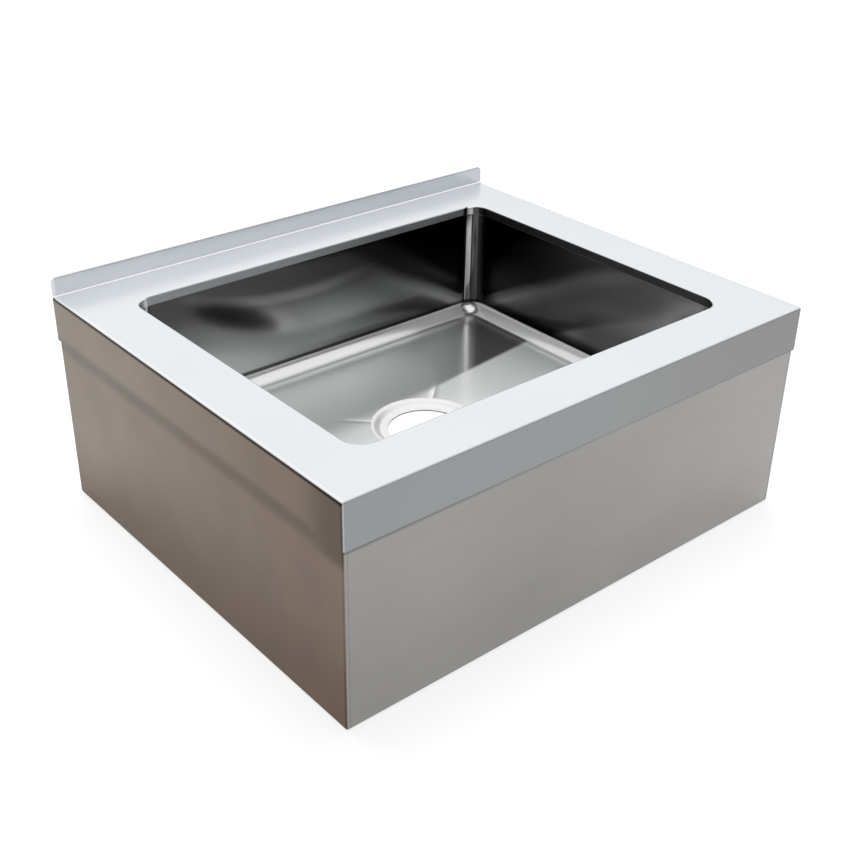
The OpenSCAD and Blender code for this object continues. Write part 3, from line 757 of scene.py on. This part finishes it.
def sheet_object(name, grids, rim):
    """Joins two-layered grids into one closed sheet and rounds its cut edges.

    Points of the upper layers that lie together become one. The faces of the lower layer are
    the same faces turned over, and a quad closes the sheet wherever an edge has one face.
    """
    upper, lower, faces, count = [], [], [], 0
    for layers, closed in grids:
        rows, columns = layers.shape[1:3]
        upper.append(layers[0].reshape(-1, 3))
        lower.append(layers[1].reshape(-1, 3))
        faces.append(grid_faces(rows, columns, closed, count))
        count += rows * columns
    upper, lower, faces = np.concatenate(upper), np.concatenate(lower), np.concatenate(faces)
    key = np.round(upper * CELLS_PER_METRE + CELL_OFFSET).astype(np.int64)
    first, joined = np.unique(key, axis=0, return_index=True, return_inverse=True)[1:]
    faces = joined.reshape(-1)[faces]
    count = len(first)
    points = np.concatenate([upper[first], lower[first]])

    # A corner that repeats the next one goes, and so does a face left with under three corners
    start, end = faces, np.roll(faces, -1, 1)
    real = start != end
    whole = real.sum(1) >= 3
    real &= whole[:, None]
    start, end = start[real], end[real]

    # An edge is free where no face has the same edge the other way round
    free = ~np.isin(start * count + end, end * count + start)
    start, end = start[free], end[free]
    rim_faces = np.stack([end, start, start + count, end + count], 1)
    seen = faces[real]
    below = (faces[:, ::-1] + count)[real[:, ::-1]]
    loops = np.concatenate([seen, below, rim_faces.reshape(-1)])
    corners = real.sum(1)[whole]
    sizes = np.concatenate([corners, corners, np.full(len(rim_faces), 4)])

    mesh = bpy.data.meshes.new(name)
    mesh.vertices.add(len(points))
    mesh.vertices.foreach_set("co", points.reshape(-1).astype(np.float32))
    mesh.loops.add(len(loops))
    mesh.loops.foreach_set("vertex_index", loops.astype(np.int32))
    mesh.polygons.add(len(sizes))
    mesh.polygons.foreach_set("loop_start", (np.cumsum(sizes) - sizes).astype(np.int32))
    mesh.polygons.foreach_set("use_smooth", np.ones(len(sizes), bool))
    mesh.update(calc_edges=True)
    if mesh.validate():
        raise RuntimeError(name + " has faces that do not fit together")
    made = bpy.data.objects.new(name, mesh)
    bpy.context.scene.collection.objects.link(made)
    cut = made.modifiers.new("Cut edges", "BEVEL")
    cut.width = rim
    cut.segments = 2
    cut.limit_method = "ANGLE"
    cut.angle_limit = math.radians(60)
    cut.use_clamp_overlap = False
    cut.harden_normals = True
    return made


def deck_grids(s):
    """The deck's four grids: collar, flat, apron and rear upstand.

    The collar and the apron are straight lines and quarter circles, carried round the opening
    and round three sides. The flat is (1 - t) * inner edge + t * outer edge between them. The
    upstand's crown falls in its corners as r - sqrt(r^2 - d^2), d being the way into them.
    """
    deck_z = DECK_HIGH.z - s.upstand
    half = np.array([DECK_HIGH.x, DECK_HIGH.y]) - s.fold
    inside = np.array([BOWL_HIGH.x, BOWL_HIGH.y]) - s.sheet - s.corner
    ring = Round(inside, half)

    lip = s.corner + s.collar_fold
    inward = (-1.0, 0.0)
    fold_z = deck_z - s.collar_fold
    collar = np.concatenate([
        [[s.corner, BOWL_HIGH.z, *inward]],
        straight((s.corner, BOWL_HIGH.z), (s.corner, fold_z), inward, steps=3),
        bend((lip, fold_z), s.collar_fold, 180, 90),
    ])

    inner_edge = ring.inner + lip * ring.out
    share = np.concatenate([[0.0, 0.008], np.linspace(0.0, 1.0, 13)[1:-1], [0.992, 1.0]])
    flat = inner_edge[None] + (ring.edge - inner_edge)[None] * share[:, None, None]

    # The apron runs on past the rear corners by the radius of a fold
    front = np.flatnonzero(ring.side <= RIGHT)
    edge, out = ring.edge[front], ring.out[front]
    for end in (0, -1):
        back = edge[end] + np.array([0.0, s.fold])
        half_back = edge[end] + np.array([0.0, s.fold / 2])
        extra = [back, half_back] if end == 0 else [half_back, back]
        edge = np.concatenate([extra, edge] if end == 0 else [edge, extra])
        out = np.concatenate([out[:1], out[:1], out] if end == 0 else [out, out[-1:], out[-1:]])
    apron = carried(edge, out, bend((0.0, deck_z - s.fold), s.fold, 90, 0, steps=7), s.sheet)
    low = DECK_LOW.z + apron_notch(edge, out, half, s)
    apron = drawn(apron, low, np.concatenate([[0.008], np.linspace(0.0, 1.0, 8)[1:-1], [1.0]]))

    rear = np.flatnonzero(ring.side == REAR)
    run = ring.edge[rear][:, 0]
    past = s.fold * np.array([1.0, 0.8, 0.6, 0.4, 0.2])
    run = np.concatenate([half[0] + past, run, -half[0] - past[::-1]])
    hollow = bend((0.0, deck_z + s.fold - s.sheet), s.fold - s.sheet, -90, 0, hollow=True, steps=5)
    base = np.stack([run, np.full(len(run), half[1])], 1)
    upstand = carried(base, np.repeat([[0.0, 1.0]], len(run), 0), hollow, s.sheet)
    inset = s.upstand_corner - (DECK_HIGH.x - np.abs(run))
    inset = np.clip(inset, 0.0, s.upstand_corner)
    crown = DECK_HIGH.z - s.upstand_corner + np.sqrt(s.upstand_corner ** 2 - inset ** 2)
    upstand = drawn(upstand, crown, np.concatenate([[0.02], np.linspace(0.0, 1.0, 6)[1:-1], [1.0]]))
    return [
        (carried(ring.inner, ring.out, collar, s.sheet), True),
        (level(flat, deck_z, s.sheet), True),
        (apron, False),
        (upstand, False),
    ]


def apron_notch(edge, out, half, s):
    """How far the apron's lower edge rises near a front corner.

    With w the distance along the sheet from the corner's middle, made blunt at its tip as
    sqrt(w^2 + tip^2), it is clip - sqrt(clip^2 - (clip - w)^2), and nothing from w = clip on.
    """
    quarter = s.fold * math.pi / 4
    turn = np.arccos(np.clip(np.abs(out[:, 1]), 0.0, 1.0))
    on_bend = np.abs(turn - math.pi / 4) * s.fold
    gap = np.minimum(
        np.hypot(half[0] - edge[:, 0], half[1] + edge[:, 1]),
        np.hypot(half[0] + edge[:, 0], half[1] + edge[:, 1]))
    away = np.where(gap < 1e-9, on_bend, gap + quarter)
    inset = np.clip(s.apron_clip - np.hypot(away, NOTCH_TIP), 0.0, s.apron_clip)
    return s.apron_clip - np.sqrt(s.apron_clip ** 2 - inset ** 2)


def floor_height(x, y, s):
    """Height of the bowl floor, four planes that fall to the drain.

    With a = |x| / run_x and b = |y| / run_y it is floor - fall * (1 - m), where m is the
    larger of a and b, rounded as (a + b + sqrt((a - b)^2 + k^2)) / 2. The softness k grows
    away from the drain, so the creases fade out towards the corners.
    """
    floor_z = DECK_HIGH.z - s.upstand - s.bowl_depth
    run = np.array([BOWL_HIGH.x, BOWL_HIGH.y]) - s.sheet - s.corner
    a, b = np.abs(x) / run[0], np.abs(y) / run[1]
    distance = np.hypot(x, y)
    soft = 0.02 + 0.35 * np.clip((distance - s.seat_rim) / 0.07, 0.0, 1.0) ** 2
    most = (a + b + np.sqrt((a - b) ** 2 + soft ** 2)) / 2
    return floor_z - s.fall * np.clip(1.0 - most, 0.0, 1.0)


def bowl_grids(s):
    """The bowl: pressed seat, falling floor, cove and upright walls, as one closed ring.

    Rays run from the drain's rim to the foot of the cove. Over the pressed step the height
    goes from the seat to the floor as 6 t^5 - 15 t^4 + 10 t^3. The cove is a quarter circle.
    """
    floor_z = DECK_HIGH.z - s.upstand - s.bowl_depth
    seat_z = BOWL_LOW.z + s.sheet
    inside = np.array([BOWL_HIGH.x, BOWL_HIGH.y]) - s.sheet - s.corner
    ring = Round(inside, inside)
    foot = ring.inner + (s.corner - s.cove) * ring.out
    distance = np.linalg.norm(foot, axis=1, keepdims=True)
    ray = foot / distance

    press = np.concatenate([
        [s.drain, s.drain + 0.0006], np.linspace(s.drain + 0.0018, s.seat_rim, 16),
        [s.seat_rim + 0.001, s.seat_rim + 0.003]])
    share = np.linspace(0.0, 1.0, 22)[1:] ** 1.15
    share = np.concatenate([share[:-1], [0.996, 1.0]])
    reach = press[-1] + (distance[None] - press[-1]) * share[:, None, None]
    radius = np.concatenate([np.repeat(press[:, None, None], len(foot), 1), reach])
    flat = ray[None] * radius
    height = floor_height(flat[..., 0], flat[..., 1], s)
    step = np.clip((radius[..., 0] - s.seat) / (s.seat_rim - s.seat), 0.0, 1.0)
    step = step ** 3 * (step * (6 * step - 15) + 10)
    height = seat_z + (height - seat_z) * step

    inward = (-1.0, 0.0)
    cove_z, wall_top = floor_z + s.cove, BOWL_HIGH.z - 0.001
    wall = np.concatenate([
        bend((s.corner - s.cove, cove_z), s.cove, -90, 0, hollow=True, steps=14)[1:],
        straight((s.corner, cove_z), (s.corner, wall_top), inward, steps=10, lead=0.0008),
        [[s.corner + 0.00004, BOWL_HIGH.z, *inward],
         [s.corner + 0.00006, BOWL_HIGH.z + 0.0004, *inward]],
    ])
    layers = [level(flat, height, s.sheet), carried(ring.inner, ring.out, wall, s.sheet)]
    return [(np.concatenate(layers, 1), True)]


# ---------------------------------------------------------------- operators

def place_piece(piece, nodes):
    """Lets a finished piece stand for its nodes and move with the sink."""
    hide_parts(*nodes)
    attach(piece, "root")


def dress(names, material):
    """Gives the nodes of these names one material."""
    for name in names:
        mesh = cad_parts[name].data
        mesh.materials.clear()
        mesh.materials.append(material)


class SINK_OT_deck(bpy.types.Operator):
    """Build the folded deck with its collar, apron and rear upstand"""
    bl_idname = "sink.deck"
    bl_label = "Deck"

    def execute(self, context):
        s, c = context.scene.sink_sizes, context.scene.sink_colours
        deck = sheet_object("deck_sheet", deck_grids(s), s.rim)
        deck.data.materials.append(deck_steel(c, s, DECK_HIGH.z - s.upstand, DECK_LOW.z))
        place_piece(deck, ["deck"])
        return {"FINISHED"}


class SINK_OT_bowl(bpy.types.Operator):
    """Build the pressed bowl"""
    bl_idname = "sink.bowl"
    bl_label = "Bowl"

    def execute(self, context):
        s, c = context.scene.sink_sizes, context.scene.sink_colours
        bowl = sheet_object("bowl_pressing", bowl_grids(s), s.rim)
        floor_z = DECK_HIGH.z - s.upstand - s.bowl_depth
        bowl.data.materials.append(bowl_steel(c, s, floor_z))
        place_piece(bowl, ["bowl"])
        return {"FINISHED"}


class SINK_OT_cabinet(bpy.types.Operator):
    """Finish the cabinet panels"""
    bl_idname = "sink.cabinet"
    bl_label = "Cabinet"

    def execute(self, context):
        c = context.scene.sink_colours
        panels = ["front_panel", "left_panel", "right_panel", "rear_panel"]
        dress(panels, panel_steel(c, DECK_LOW.z))
        return {"FINISHED"}


class SINK_OT_inner(bpy.types.Operator):
    """Finish the brackets, bearers and pads under the deck"""
    bl_idname = "sink.inner"
    bl_label = "Inner pieces"

    def execute(self, context):
        c = context.scene.sink_colours
        names = list(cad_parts)
        steel = plain_steel("bracket mill steel", c.inner, 0.42)
        dress([n for n in names if n.endswith(("angle", "gusset", "cleat", "_bearer"))], steel)
        strip = rubber("bearer rubber", (0.03, 0.03, 0.03), 0.6, 1500.0)
        dress([n for n in names if n.endswith("bearer_pad")], strip)
        pad = rubber("damping pad", (0.05, 0.05, 0.055), 0.75, 300.0)
        dress([n for n in names if n.endswith("sound_pad")], pad)
        return {"FINISHED"}


class SINK_OT_stage(bpy.types.Operator):
    """Set up the floor, the light and the camera"""
    bl_idname = "sink.stage"
    bl_label = "Studio"

    def execute(self, context):
        build_floor()
        build_world(context.scene)
        build_lamp()
        build_camera(context.scene)
        return {"FINISHED"}


def seen_directly(g):
    """1 for rays from the camera, and for those that metal or glass sends on."""
    path = g.node("ShaderNodeLightPath").socket.node
    rays = [Wire(g, path.outputs[n]) for n in ("Is Camera Ray", "Is Glossy Ray", "Is Transmission Ray")]
    return rays[0].larger(rays[1]).larger(rays[2])


def build_floor():
    """Lays a large pale floor, dark under the cabinet but for the patch under the drain."""
    mesh = bpy.data.meshes.new("studio_floor")
    reach, height = 14.0, -0.0004
    corners = [(-reach, -reach), (reach, -reach), (reach, reach), (-reach, reach)]
    mesh.from_pydata([(x, y, height) for x, y in corners], [], [(0, 1, 2, 3)])
    floor = bpy.data.objects.new("studio_floor", mesh)
    bpy.context.scene.collection.objects.link(floor)
    floor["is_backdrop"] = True

    skin = Skin("studio floor")
    g = skin.g
    mesh.materials.append(skin.material)
    path = g.node("ShaderNodeLightPath").socket.node
    camera = Wire(g, path.outputs["Is Camera Ray"])
    distance = (skin.x * skin.x + skin.y * skin.y) ** 0.5
    off_x, off_y = skin.x - DRAIN_LIGHT_X, skin.y - DRAIN_LIGHT_Y
    drain_light = 1.0 - ((off_x * off_x + off_y * off_y) ** 0.5).step(0.056, 0.070)
    half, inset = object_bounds()[1], 0.03
    under_x = 1.0 - abs(skin.x).step(half.x - inset, half.x)
    under_y = 1.0 - abs(skin.y).step(half.y - inset, half.y)
    open_glow = 0.76
    hidden_glow = under_x * under_y * (camera * drain_light - open_glow)
    glow = hidden_glow + distance.step(1.5, 5.0) * 0.1 + open_glow
    lit = g.node("ShaderNodeBsdfDiffuse", None, {"Color": (0.5, 0.5, 0.5, 1.0)})
    shine = g.node("ShaderNodeEmission", None, {"Color": (1, 1, 1, 1), "Strength": glow})
    both = g.node("ShaderNodeAddShader", None, {0: lit, 1: shine})
    shown = g.node("ShaderNodeMixShader", None, {0: seen_directly(g), 1: lit, 2: both})
    g.node("ShaderNodeOutputMaterial", None, {"Surface": shown})


def build_world(scene):
    """Lights the sink softly all round, with three dark patches that only reflections show."""
    world = bpy.data.worlds.new("studio")
    scene.world = world
    world.use_nodes = True
    g = Graph(world.node_tree)
    soft = g.node("ShaderNodeBackground", None, {"Color": (1, 1, 1, 1), "Strength": 0.35})
    x, y, z = g.parts(g.node("ShaderNodeTexCoord"))
    spot = (x * -0.714 + y * -0.558 + z * 0.423).step(0.978, 0.9925)
    left_skyline = (x * -1.0).step(0.1, 0.5) * (1.0 - z.step(0.15, 0.35))
    rear_skyline = (x * 0.69 + y * 0.72).step(0.8, 0.95) * (1.0 - z.step(0.17, 0.27))
    camera = g.node("ShaderNodeLightPath")
    dark = (spot * 0.7).larger(left_skyline * 0.9).larger(rear_skyline) * (1.0 - camera)
    white = g.node("ShaderNodeBackground", None, {"Color": (1, 1, 1, 1), "Strength": 1.0 - dark})
    shown = g.node("ShaderNodeMixShader", None, {0: seen_directly(g), 1: soft, 2: white})
    g.node("ShaderNodeOutputWorld", None, {"Surface": shown})


def build_lamp():
    """Hangs one softbox over the rear right corner, turned towards the sink."""
    lamp = bpy.data.lights.new("overhead_softbox", "AREA")
    lamp.shape = "RECTANGLE"
    lamp.size = 2.2
    lamp.size_y = 1.6
    lamp.energy = 45.0
    made = bpy.data.objects.new("overhead_softbox", lamp)
    place, aim = Vector((0.3, 0.6, 2.6)), Vector((0.0, 0.0, 0.15))
    made.location = place
    made.rotation_euler = (aim - place).to_track_quat("-Z", "Y").to_euler()
    made.visible_glossy = False
    bpy.context.scene.collection.objects.link(made)


def build_camera(scene):
    """Sets the camera by its place and by the directions to its right, upwards and ahead."""
    camera = bpy.data.cameras.new("camera")
    camera.lens = 54.083
    camera.sensor_width = 36.0
    camera.clip_start = 0.05
    made = bpy.data.objects.new("camera", camera)
    scene.collection.objects.link(made)
    place = Vector((-0.8394, -0.9860, 0.8324))
    right = Vector((0.76682, -0.64173, 0.01341))
    up = Vector((0.30775, 0.38591, 0.86969))
    ahead = Vector((0.56328, 0.66277, -0.49341))
    turn = Matrix((right, up, -ahead)).transposed().to_4x4()
    made.matrix_world = Matrix.Translation(place) @ turn
    scene.camera = made
    scene.view_settings.view_transform = "Standard"


class SINK_PT_sidebar(bpy.types.Panel):
    """The sink's builders, sizes and tones"""
    bl_idname = "SINK_PT_sidebar"
    bl_label = "Mop service sink"
    bl_space_type = "VIEW_3D"
    bl_region_type = "UI"
    bl_category = "Sink"

    def draw(self, context):
        for operator in OPERATORS:
            self.layout.operator(operator.bl_idname)
        for group in (context.scene.sink_sizes, context.scene.sink_colours):
            for name in type(group).__annotations__:
                self.layout.prop(group, name)


OPERATORS = (SINK_OT_deck, SINK_OT_bowl, SINK_OT_cabinet, SINK_OT_inner, SINK_OT_stage)
CLASSES = (SinkSizes, SinkColours, *OPERATORS, SINK_PT_sidebar)


def register():
    for cls in CLASSES:
        bpy.utils.register_class(cls)
    bpy.types.Scene.sink_sizes = bpy.props.PointerProperty(type=SinkSizes)
    bpy.types.Scene.sink_colours = bpy.props.PointerProperty(type=SinkColours)


def unregister():
    del bpy.types.Scene.sink_colours
    del bpy.types.Scene.sink_sizes
    for cls in reversed(CLASSES):
        bpy.utils.unregister_class(cls)


def main():
    register()
    bpy.ops.sink.deck()
    bpy.ops.sink.bowl()
    bpy.ops.sink.cabinet()
    bpy.ops.sink.inner()
    bpy.ops.sink.stage()
    bpy.context.view_layer.update()


if __name__ == "__main__":
    main()
